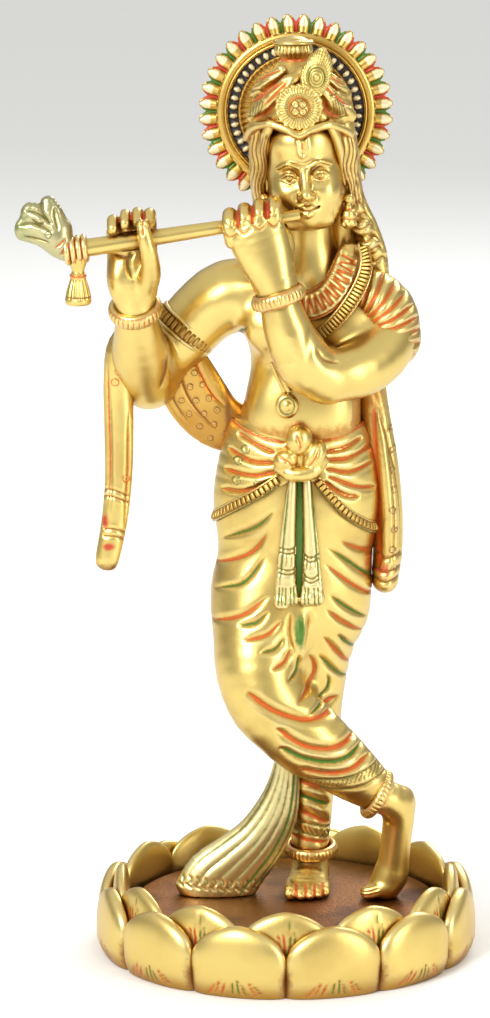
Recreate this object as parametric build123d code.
from build123d import *
import math
import os

# A brass figurine: a flute player in a pleated wrap stands cross-legged on a hollow lotus base,
# with a petalled halo fixed behind the head. The castings are brazed to one another with a thin
# gap of filler, and threaded studs hold the figure to the base. The flute is a separate rod
# that slides out of both hands. Millimetres, +Z up, the figure faces -Y, and the origin is the
# centre of the base on the surface that it stands on.

os.makedirs("parts", exist_ok=True)

# Driving dimensions
braze_gap = 0.1
slide_clearance = 0.35
base_radius = 56.0
deck_top = 13.5
deck_thickness = 3.0
base_wall = 6.0
base_ledge = 3.5
plate_thickness = 1.0
floor = deck_top + plate_thickness
petal_count = 12
outer_petal_height = 23.0
inner_petal_height = 27.0
halo_centre = (3.2, 26.0, 271.7)
halo_radius = 31.4
halo_disc_radius = 25.6
halo_petal_count = 36
stud_radius = 2.4
stud_places = ((8.0, 19.0), (34.0, 5.0), (-20.0, 12.0))
nut_flats = 8.0
flute_mouth_end = Vector(4.2, -9.4, 242.7)
flute_tail_end = Vector(-69.0, -20.8, 232.9)
flute_mouth_radius = 1.75
flute_tail_radius = 3.0


# Shared shapes

def ring_face(plane, half_width, half_depth, points=12):
    """Flat oval face whose outline always starts on the same side, so that lofts don't twist."""
    turns = [2 * math.pi * i / points for i in range(points)]
    rim = [Vector(half_width * math.cos(t), half_depth * math.sin(t), 0) for t in turns]
    return Face(Wire([Spline(*[plane.from_local_coords(p) for p in rim], periodic=True).edge()]))


def limb(stations, grow=0.0, depth_way=(0, 1, 0)):
    """Smooth tapering solid through stations of (x, y, z, half width, half depth)."""
    places = [Vector(*station[:3]) for station in stations]
    last = len(places) - 1
    faces = []
    for i, (place, station) in enumerate(zip(places, stations)):
        along = (places[min(i + 1, last)] - places[max(i - 1, 0)]).normalized()
        if i == 0:
            place = place - along * grow
        if i == last:
            place = place + along * grow
        across = Vector(*depth_way).cross(along).normalized()
        plane = Plane(origin=place, x_dir=across, z_dir=along)
        faces.append(ring_face(plane, station[3] + grow, station[4] + grow))
    return loft(faces)


def ball(centre, radii, grow=0.0, turn=(0, 0, 0)):
    """Ellipsoid with its half sizes along X, Y and Z, turned about its own centre."""
    sizes = tuple(r + grow for r in radii)
    return Pos(*centre) * Rot(*turn) * scale(Sphere(1), by=sizes)


def rod(start, end, start_radius, end_radius, grow=0.0):
    """Round rod from start to end, straight or tapered."""
    way = (Vector(*end) - Vector(*start)).normalized()
    length = (Vector(*end) - Vector(*start)).length + 2 * grow
    seat = Plane(origin=Vector(*start) - way * grow, z_dir=way)
    bottom = (Align.CENTER, Align.CENTER, Align.MIN)
    if abs(start_radius - end_radius) < 1e-6:
        return seat * Cylinder(start_radius + grow, length, align=bottom)
    return seat * Cone(start_radius + grow, end_radius + grow, length, align=bottom)


def hoop(centre, axis, radius, wire_radius, grow=0.0):
    """Round ring of wire about an axis."""
    return Plane(origin=centre, z_dir=axis) * Torus(radius, wire_radius + grow)


def slab_above(height, low_corner=-100.0, size=400.0):
    """Large block whose underside lies at the given height."""
    corner = (Align.MIN, Align.MIN, Align.MIN)
    return Pos(low_corner, low_corner, height) * Box(size, size, size, align=corner)


# Base

def lotus_base():
    """Cast ring that carries the petals, with an inner ledge for the deck."""
    inside = base_radius - base_wall
    shoulder = 8.0
    neck = inside - 0.15
    profile = Polyline(
        (inside - base_ledge, 0), (base_radius, 0), (base_radius, shoulder), (neck, shoulder),
        (neck, deck_top - deck_thickness), (inside - base_ledge, deck_top - deck_thickness), close=True,
    )
    return revolve(make_face(Plane.XZ * profile), Axis.Z)


def base_deck():
    """Round deck soldered on the ring's ledge, drilled for the studs that hold the figure."""
    lift = deck_top - deck_thickness / 2
    deck = Pos(0, 0, lift) * Cylinder(base_radius - base_wall - 0.3, deck_thickness)
    for x, y in stud_places:
        deck -= Pos(x, y, lift) * Cylinder(stud_radius + 0.3, 2 * deck_thickness)
    return deck


def floor_plate():
    """Thin rough plate laid on the deck."""
    lift = deck_top + plate_thickness / 2
    plate = Pos(0, 0, lift) * Cylinder(base_radius - base_wall - 0.3, plate_thickness)
    for x, y in stud_places:
        plate -= Pos(x, y, lift) * Cylinder(stud_radius + 0.3, 2 * plate_thickness)
    return plate


def petals(first_angle, radius, sizes, middle, inner_radius, outer_radius, foot):
    """Ring of plump petals between two radii, standing on the height of their foot."""
    keep = Pos(0, 0, foot + 50) * (Cylinder(outer_radius, 100) - Cylinder(inner_radius, 100))
    ring = []
    for i in range(petal_count):
        angle = first_angle + 360.0 / petal_count * i
        petal = Rot(0, 0, angle) * ball((0, -radius, middle), sizes)
        ring += (petal & keep).solids()
    return Compound(children=ring)


def outer_petals():
    half_height = 16.0
    return petals(15.0, 57.0, (14.4, 6.0, half_height), outer_petal_height - half_height,
                  base_radius + 0.05, 70.0, 0.0)


def inner_petals():
    half_height = 16.0
    return petals(0.0, 52.8, (13.2, 4.5, half_height), inner_petal_height - half_height,
                  base_radius - base_wall - 0.1, base_radius, 8.05)


def fixing_studs(grow=0.0):
    """Threaded studs, from under the deck up into the figure's feet and hem."""
    return [rod((x, y, 3.5), (x, y, 22.0), stud_radius, stud_radius, grow) for x, y in stud_places]


def fixing_washers():
    lift = deck_top - deck_thickness - 0.5
    hole = Cylinder(stud_radius + 0.1, 2)
    return [Pos(x, y, lift) * (Cylinder(5.0, 1.0) - hole) for x, y in stud_places]


def fixing_nuts():
    height = 4.0
    lift = deck_top - deck_thickness - 1.0 - height
    outline = RegularPolygon(nut_flats / math.sqrt(3), 6)
    nut = extrude(outline, height) - Cylinder(stud_radius + 0.05, 4 * height)
    return [Pos(x, y, lift) * nut for x, y in stud_places]


# Legs and wrap

hip_stations = (
    (3.7, 12.0, 170.0, 21.3, 14.0),
    (3.7, 12.5, 158.0, 24.3, 16.0),
    (3.5, 12.5, 143.0, 26.5, 17.5),
    (3.0, 12.5, 128.0, 25.0, 17.0),
    (2.2, 12.5, 116.0, 24.6, 17.0),
)


def dhoti_hips(grow=0.0):
    """Pleated wrap round the hips, down to where the thighs part."""
    return limb(hip_stations, grow)


def standing_leg(grow=0.0):
    """Straight leg, from the wrap down to the ankle."""
    return limb(((9.5, 14.0, 116.0, 16.5, 15.0), (9.0, 14.0, 104.0, 14.5, 14.5),
                 (9.0, 14.0, 85.0, 10.5, 12.5), (8.7, 15.0, 66.0, 8.6, 9.5),
                 (8.4, 17.0, 40.0, 6.9, 7.4), (8.0, 17.5, 24.0, 6.2, 6.5)), grow)


def crossed_thigh(grow=0.0):
    """Thigh of the crossed leg, from the wrap down to the bent knee."""
    return limb(((-7.0, 9.0, 116.0, 16.5, 15.5), (-8.0, 5.0, 104.0, 15.5, 15.5),
                 (-8.0, -0.5, 92.0, 13.5, 14.0), (-6.5, -4.0, 82.0, 11.8, 12.0),
                 (-4.0, -5.5, 74.0, 8.0, 8.5)), grow)


def crossed_shin(grow=0.0):
    """Shin that crosses in front of the straight leg."""
    return limb(((-5.0, -3.5, 84.0, 9.5, 10.5), (4.0, -5.5, 73.5, 12.5, 12.0),
                 (14.0, -5.5, 65.0, 10.8, 10.5), (23.0, -4.5, 57.5, 8.6, 8.0),
                 (31.5, -3.0, 50.5, 6.0, 5.8)), grow)


def standing_foot(grow=0.0):
    """Flat foot, toes to the front."""
    foot = limb(((8.0, 27.0, 19.5, 4.5, 5.0), (8.0, 20.0, 20.0, 6.2, 7.0),
                 (7.2, 9.0, 18.5, 7.0, 5.5), (6.5, 1.0, 16.8, 7.0, 2.8)), grow, (0, 0, 1))
    return foot & slab_above(floor + 0.02 - grow)


def crossed_foot(grow=0.0):
    """Upright foot that rests on its toes, with the heel up."""
    upright = limb(((35.6, -0.5, 49.6, 5.0, 5.8), (37.0, 2.0, 43.0, 5.2, 6.4),
                    (37.4, 3.6, 33.0, 4.2, 5.4), (36.0, 4.4, 22.0, 5.2, 5.4)), grow)
    toes = ball((31.5, 4.0, 17.5), (8.5, 6.0, 4.8), grow)
    return (upright + toes) & slab_above(floor + 0.02 - grow)


def drape_tail(grow=0.0):
    """Loose end of the wrap, which flares down to the floor beside the straight leg."""
    cloth = limb(((1.0, 10.0, 66.0, 3.5, 4.0), (-0.7, 10.0, 53.0, 5.0, 5.0),
                  (-5.0, 9.5, 42.0, 7.5, 5.5), (-12.0, 9.0, 33.0, 9.0, 6.0),
                  (-19.5, 9.0, 25.0, 9.5, 6.5), (-25.5, 9.0, 17.0, 9.5, 6.5),
                  (-28.5, 9.0, 11.0, 9.0, 6.5)), grow)
    return cloth & slab_above(floor + 0.02 - grow)


def waist_sash(grow=0.0):
    """Gathered cloth band over the hips."""
    thickness = 1.8
    band = limb(hip_stations, thickness + grow)
    return band & (slab_above(149.0 - grow) - slab_above(171.5 + grow))


def sash_knot(grow=0.0):
    """Knot of three folded loops on the front of the band."""
    lobes = (((4.1, -6.0, 169.4), (4.2, 4.0, 5.2)), ((0.2, -6.0, 163.8), (4.2, 3.6, 3.9)),
             ((9.2, -6.0, 164.4), (3.8, 3.6, 5.2)), ((4.8, -6.4, 159.8), (6.2, 3.6, 3.4)))
    knot = Part()
    for centre, radii in lobes:
        knot += ball(centre, radii, grow)
    return knot


def sash_ends(grow=0.0):
    """Two hanging ends of the band."""
    left = limb(((2.2, -6.0, 157.0, 2.0, 1.5), (0.5, -6.2, 136.5, 2.6, 1.8),
                 (0.1, -6.2, 117.0, 3.6, 2.2)), grow)
    right = limb(((6.6, -6.0, 157.0, 1.8, 1.5), (7.9, -6.2, 136.5, 2.6, 1.8),
                  (8.4, -6.2, 117.0, 3.6, 2.2)), grow)
    return [left, right]


def girdle_chains(grow=0.0):
    """Two beaded chains that hang from the knot round to the sides."""
    bead = 1.6
    left = ((-2.7, -5.0, 156.2), (-10.0, -3.2, 151.3), (-16.4, 0.6, 147.2), (-22.8, 8.0, 142.6))
    right = ((10.1, -5.2, 156.0), (15.7, -4.2, 149.4), (21.4, -1.5, 143.7), (27.5, 4.5, 139.6))
    return [limb([(*place, bead, bead) for place in chain], grow) for chain in (left, right)]


def anklets(grow=0.0):
    return [hoop((8.0, 17.3, 27.0), (0, 0, 1), 8.2, 1.4, grow),
            hoop((28.2, -3.4, 52.6), (0.83, 0.09, -0.55), 7.9, 1.3, grow)]


# Body, head and headdress

torso_stations = (
    (4.5, 12.0, 170.1, 20.0, 13.4),
    (5.8, 12.0, 181.0, 19.4, 12.6),
    (7.0, 12.0, 193.0, 19.2, 13.0),
    (7.5, 12.5, 205.0, 22.0, 13.5),
    (7.5, 13.0, 215.0, 18.5, 11.8),
    (7.4, 13.0, 223.0, 9.5, 9.0),
    (7.0, 12.0, 242.0, 7.3, 8.0),
)


def torso(grow=0.0):
    """Bare chest and neck; the head sits over the neck."""
    return limb(torso_stations, grow)


def neck_dowel(grow=0.0):
    return rod((7.0, 12.0, 226.0), (7.0, 12.0, 252.0), 2.0, 2.0, grow)


def head(grow=0.0):
    return ball((6.5, 6.5, 254.5), (12.3, 14.5, 17.5), grow)


def turban(grow=0.0):
    """Domed headdress."""
    return ball((3.6, 8.0, 272.0), (18.6, 15.4, 18.0), grow) & slab_above(264.5 - grow)


def turban_finial(grow=0.0):
    """Small waisted pot on top of the headdress."""
    profile = Polyline((0, 284), (6.6 + grow, 284), (4.3 + grow, 290), (5.9 + grow, 293),
                       (5.6 + grow, 296), (3.5 + grow, 297.3 + grow), (0, 297.5 + grow), close=True)
    return Pos(2.2, 8.0, 0) * revolve(make_face(Plane.XZ * profile), Axis.Z)


def brooch(grow=0.0):
    return ball((3.6, -7.0, 276.6), (7.6, 3.0, 7.2), grow)


def feather(grow=0.0):
    """Plume that stands on the front of the headdress and leans outwards."""
    return ball((9.3, -4.5, 287.5), (4.8, 2.2, 8.6), grow, (0, 10, 0))


def hair(grow=0.0):
    """Hair behind the head, with one long lock on the shoulder."""
    mass = ball((5.5, 13.5, 254.0), (18.0, 9.5, 20.0), grow)
    lock = limb(((20.0, 14.0, 257.0, 5.0, 5.5), (22.5, 13.5, 245.0, 5.5, 5.5),
                 (26.0, 13.0, 234.0, 5.5, 4.5), (28.5, 12.5, 226.0, 4.5, 4.0)), grow)
    return mass + lock


def earrings(grow=0.0):
    return [ball((x, 3.6, 241.5), (2.3, 2.3, 4.6), grow) for x in (-7.4, 19.8)]


def halo_disc():
    """Round plate with a raised rim and a sunk band, pierced for its rivet."""
    thickness = 2.0
    bottom = (Align.CENTER, Align.CENTER, Align.MIN)
    plate = Cylinder(halo_disc_radius, thickness, align=bottom)
    rim = Cylinder(halo_disc_radius, thickness + 1.0, align=bottom) - Cylinder(22.4, 20)
    field = Cylinder(18.6, thickness + 0.5, align=bottom)
    disc = plate + rim + field - Cylinder(1.7, 20)
    return Plane(origin=(halo_centre[0], halo_centre[1] + 1.0, halo_centre[2]), z_dir=(0, -1, 0)) * disc


def halo_petals():
    """Ring of small leaves round the plate."""
    inside = halo_disc_radius + 0.1
    half_length = (halo_radius - inside) / 2
    leaf = ball((0, 0, inside + half_length), (2.25, 1.7, half_length))
    turns = [Rot(0, 360.0 / halo_petal_count * i, 0) for i in range(halo_petal_count)]
    return [Pos(*halo_centre) * turn * leaf for turn in turns]


def halo_rivet(grow=0.0):
    """Rivet from the back of the halo into the headdress."""
    x, y, z = halo_centre
    shank = rod((x, 14.0, z), (x, y + 2.0, z), 1.6, 1.6, grow)
    return shank + rod((x, y + 1.05, z), (x, y + 2.6, z), 3.2, 2.4)


def necklace(grow=0.0):
    """Broad collar that lies on the chest and shoulders."""
    band = hoop((8.0, 7.5, 212.5), (0, -0.52, 0.85), 17.5, 5.0, grow)
    return band & limb(torso_stations, 1.3 + grow)


def pendant(grow=0.0):
    """Long string with an oval drop, on the front of the waist."""
    string = limb(((-1.8, 1.6, 190.5, 1.2, 1.2), (-0.6, 1.2, 187.0, 1.2, 1.2),
                   (0.4, 0.8, 183.0, 1.3, 1.2)), grow)
    return string + ball((0.6, 0.6, 180.0), (3.5, 1.8, 4.0), grow)


# Arms

def arm_dowels(grow=0.0):
    """Locating pins that carry the arms on the body."""
    return [rod((0.0, 13.0, 213.0), (-19.0, 14.0, 213.0), 2.0, 2.0, grow),
            rod((20.0, 12.0, 207.0), (34.0, 10.0, 206.0), 2.0, 2.0, grow)]


def right_upper_arm(grow=0.0):
    return limb(((-8.0, 12.5, 213.5, 12.5, 12.5), (-20.0, 14.0, 212.0, 12.5, 12.0),
                 (-28.5, 14.5, 206.0, 11.0, 10.5), (-37.0, 14.5, 196.0, 9.0, 9.0),
                 (-43.0, 12.5, 187.5, 7.8, 7.8)), grow)


def right_forearm(grow=0.0):
    return limb(((-43.6, 16.5, 183.0, 6.0, 6.0), (-44.6, 10.0, 186.0, 9.4, 9.4),
                 (-46.2, 1.5, 195.0, 10.0, 9.4), (-47.2, -6.5, 205.0, 7.6, 7.6),
                 (-47.8, -11.5, 212.5, 6.3, 6.3)), grow)


def right_hand(grow=0.0):
    """Palm to the front, fingers bent over at the tips, thumb up across the flute."""
    palm = limb(((-47.9, -12.2, 213.5, 6.2, 5.6), (-48.2, -14.0, 222.0, 7.2, 5.2),
                 (-48.4, -14.3, 232.0, 7.9, 4.3), (-48.4, -14.6, 243.5, 7.4, 3.6)), grow)
    tips = ball((-48.2, -17.5, 242.8), (7.4, 4.8, 2.8), grow)
    thumb = limb(((-42.6, -15.5, 221.0, 3.0, 3.0), (-42.6, -21.0, 229.0, 2.9, 2.9),
                  (-43.4, -23.6, 236.0, 2.7, 2.7), (-43.8, -23.8, 241.5, 2.3, 2.3)), grow)
    return palm + tips + thumb


def left_upper_arm(grow=0.0):
    return limb(((31.5, 12.0, 207.0, 10.5, 10.5), (31.0, 4.0, 198.5, 10.4, 10.4),
                 (23.5, -6.0, 193.2, 9.4, 9.4), (14.0, -12.5, 191.6, 8.8, 8.8),
                 (8.0, -15.2, 191.4, 5.5, 5.5)), grow, (-0.3, 0.7, -0.6))


def left_forearm(grow=0.0):
    return limb(((9.5, -14.0, 191.0, 9.0, 8.8), (4.2, -16.5, 198.5, 9.4, 9.0),
                 (0.5, -18.0, 207.5, 8.0, 8.0), (-1.8, -18.2, 215.5, 6.9, 6.9),
                 (-2.6, -18.2, 221.0, 6.8, 6.6)), grow)


def left_fist(grow=0.0):
    """Back of the hand to the front, fingers over the flute."""
    back = limb(((-2.8, -18.2, 222.2, 6.9, 6.2), (-6.0, -17.6, 231.0, 9.2, 6.0),
                 (-9.2, -16.0, 240.0, 9.6, 5.6)), grow)
    return back + ball((-10.2, -13.8, 243.6), (9.6, 6.6, 5.2), grow)


def armlet(grow=0.0):
    return hoop((-32.3, 14.6, 202.3), (-0.6, 0.0, -0.8), 10.3, 1.8, grow)


def right_bangle(grow=0.0):
    return hoop((-47.7, -11.4, 212.4), (-0.05, -0.56, 0.82), 7.4, 1.9, grow)


def left_bangle(grow=0.0):
    return hoop((-2.4, -18.2, 217.6), (-0.3, -0.02, 0.95), 7.8, 1.9, grow)


# Shawl and scarf

def shoulder_shawl(grow=0.0):
    """Folded cloth over the left shoulder."""
    return ball((31.0, 9.5, 209.5), (12.3, 14.5, 14.5), grow)


def shawl_drape(grow=0.0):
    """Long end of the shawl, which falls down the figure's side."""
    return limb(((26.5, 17.0, 196.0, 4.0, 7.0), (28.2, 16.5, 178.0, 4.2, 7.0),
                 (30.6, 16.0, 160.0, 4.8, 8.0), (32.8, 15.5, 142.0, 4.9, 8.5),
                 (33.0, 15.0, 126.0, 4.8, 8.0), (32.0, 15.0, 117.5, 4.2, 7.0)), grow)


def scarf_strip(grow=0.0):
    """Narrow end of the scarf, hanging from the forearm."""
    return limb(((-54.0, 3.0, 197.0, 3.8, 4.5), (-53.8, 4.0, 184.0, 4.6, 4.0),
                 (-53.6, 3.0, 170.0, 4.7, 3.4), (-54.0, 2.0, 155.0, 4.4, 3.0),
                 (-55.6, 1.0, 141.0, 4.2, 2.8), (-58.0, 0.0, 127.0, 3.5, 2.4)), grow)


def scarf_loop(grow=0.0):
    """Broad spotted middle of the scarf, from behind the waist up to the elbow."""
    return limb(((-35.0, 12.0, 200.0, 6.5, 3.0), (-32.0, 13.5, 190.0, 8.0, 3.2),
                 (-28.5, 15.0, 181.0, 9.0, 3.4), (-23.5, 16.5, 172.5, 9.0, 3.4),
                 (-15.0, 17.5, 168.5, 8.0, 3.4)), grow)


# Flute

def flute_tube(grow=0.0):
    """Plain tapered pipe, thick at the tail."""
    return rod(tuple(flute_tail_end), tuple(flute_mouth_end), flute_tail_radius, flute_mouth_radius, grow)


def flute_finial(grow=0.0):
    """Carved bird's head on the tail of the flute."""
    neck = limb(((-68.3, -20.6, 233.2, 3.9, 3.9), (-71.5, -20.7, 235.2, 5.4, 4.4),
                 (-75.5, -20.8, 239.5, 7.0, 4.8)), grow)
    crest = ball((-77.0, -20.8, 241.4), (10.6, 4.8, 5.6), grow, (0, -38, 0))
    return neck + crest


def flute_tassel(grow=0.0):
    """Bound collar with a stiff cast tassel below it."""
    way = (flute_mouth_end - flute_tail_end).normalized()
    collar = rod(tuple(flute_tail_end + way * 1.2), tuple(flute_tail_end + way * 6.4), 4.5, 4.2, grow)
    bell = Polyline((0, 230), (2.9 + grow, 230), (2.1 + grow, 226), (2.3 + grow, 224.5),
                    (4.2 + grow, 218), (3.9 + grow, 216.2), (2.2 + grow, 215.4 - grow),
                    (0, 215.3 - grow), close=True)
    return collar + Pos(-65.2, -20.3, 0) * revolve(make_face(Plane.XZ * bell), Axis.Z)


def flute_way(grow=0.0):
    """Room for the flute in the hands and before the mouth; grow is the braze gap, unused here."""
    return flute_tube(slide_clearance)


# Assembly: each piece is cut back from every earlier one that it meets.

def with_boxes(solids):
    return [(solid, solid.bounding_box()) for solid in solids]


def as_solids(shape):
    pieces = shape if isinstance(shape, (list, tuple)) else [shape]
    return [solid for piece in pieces for solid in piece.solids()]


def boxes_meet(a, b):
    low = (a.min.X > b.max.X, a.min.Y > b.max.Y, a.min.Z > b.max.Z)
    high = (b.min.X > a.max.X, b.min.Y > a.max.Y, b.min.Z > a.max.Z)
    return not any(low + high)


def cut_back(solids, cutters, smallest_share=0.12):
    """Solids less the cutters; crumbs under a share of the largest remaining piece are dropped."""
    remaining = []
    for solid in solids:
        box = solid.bounding_box()
        for cutter, cutter_box in cutters:
            if boxes_meet(box, cutter_box):
                solid = solid - cutter
        left = solid.solids()
        largest = max(piece.volume for piece in left)
        remaining += [piece for piece in left if piece.volume > smallest_share * largest]
    return remaining


free_pieces = {
    "lotus_base": lotus_base, "base_deck": base_deck, "floor_plate": floor_plate, "outer_petals": outer_petals,
    "inner_petals": inner_petals, "fixing_washers": fixing_washers, "fixing_nuts": fixing_nuts,
    "halo_disc": halo_disc, "halo_petals": halo_petals,
}
brazed_pieces = (
    fixing_studs, neck_dowel, arm_dowels, halo_rivet, torso, standing_leg, crossed_thigh,
    crossed_shin, dhoti_hips, standing_foot, crossed_foot, anklets, waist_sash, sash_knot, sash_ends,
    girdle_chains, left_upper_arm, left_forearm, left_bangle, left_fist, right_upper_arm,
    right_forearm, right_bangle, right_hand, armlet, head, necklace, pendant, turban, brooch,
    turban_finial, feather, earrings, hair, shoulder_shawl, shawl_drape, scarf_strip, scarf_loop,
    drape_tail,
)
flute_pieces = (flute_tube, flute_finial, flute_tassel)
beside_flute = (left_fist, right_hand, head)


def write(name, solids):
    export_step(Compound(children=list(solids)), f"parts/{name}.step")


def build():
    for name, make in free_pieces.items():
        write(name, as_solids(make()))
    for group in (brazed_pieces, flute_pieces):
        cutters = []
        for make in group:
            solids = cut_back(as_solids(make()), cutters)
            if make in beside_flute:
                solids = cut_back(solids, with_boxes(as_solids(flute_way())))
            write(make.__name__, solids)
            cutters += with_boxes(as_solids(make(braze_gap)))


build()
